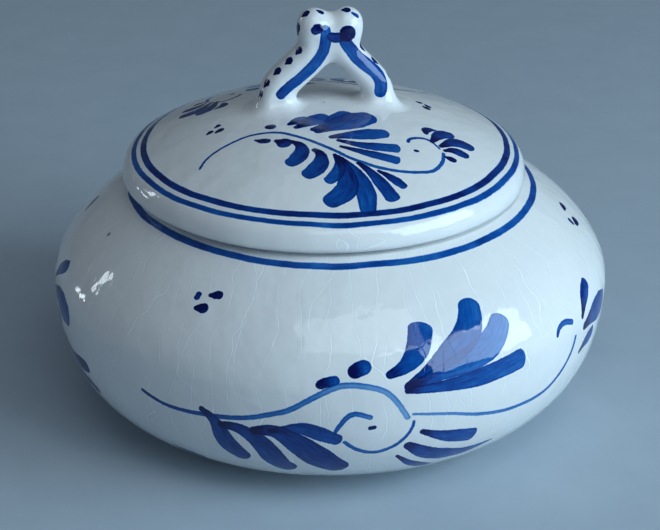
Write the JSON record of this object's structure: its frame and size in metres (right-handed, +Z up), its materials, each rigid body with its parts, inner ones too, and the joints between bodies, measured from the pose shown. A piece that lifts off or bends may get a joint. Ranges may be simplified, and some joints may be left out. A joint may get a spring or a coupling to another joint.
{
  "type": "lidded bowl",
  "caption": "Squat round glazed earthenware bowl with a blue hand-painted spray, an overhanging domed lid and an arched two-strap handle with two round knobs.",
  "frame": {"origin": "on the table, under the middle of the foot ring", "axes": "+Z up along the way the lid lifts, -Y towards the front, +X to the right along the handle's arch"},
  "size_m": [0.15, 0.15, 0.1104],
  "materials": {
    "painted_glaze": "glossy white tin glaze, finely crazed, with cobalt blue brushwork under it",
    "white_glaze": "glossy white tin glaze, finely crazed",
    "bare_clay": "matt buff earthenware, wiped clean of glaze where it stands"
  },
  "bodies": {
    "bowl": {"bowl_body": "painted_glaze", "foot_ring": "bare_clay"},
    "lid": {"lid_dome": "painted_glaze", "lid_flange": "white_glaze", "handle_strap_left": "painted_glaze", "handle_strap_right": "painted_glaze", "handle_knob_left": "painted_glaze", "handle_knob_right": "painted_glaze"}
  },
  "joints": [
    {"name": "lid_lift", "type": "slide", "parent": "bowl", "child": "lid", "axis": [0, 0, 1], "range_m": [0, 0.09]}
  ]
}
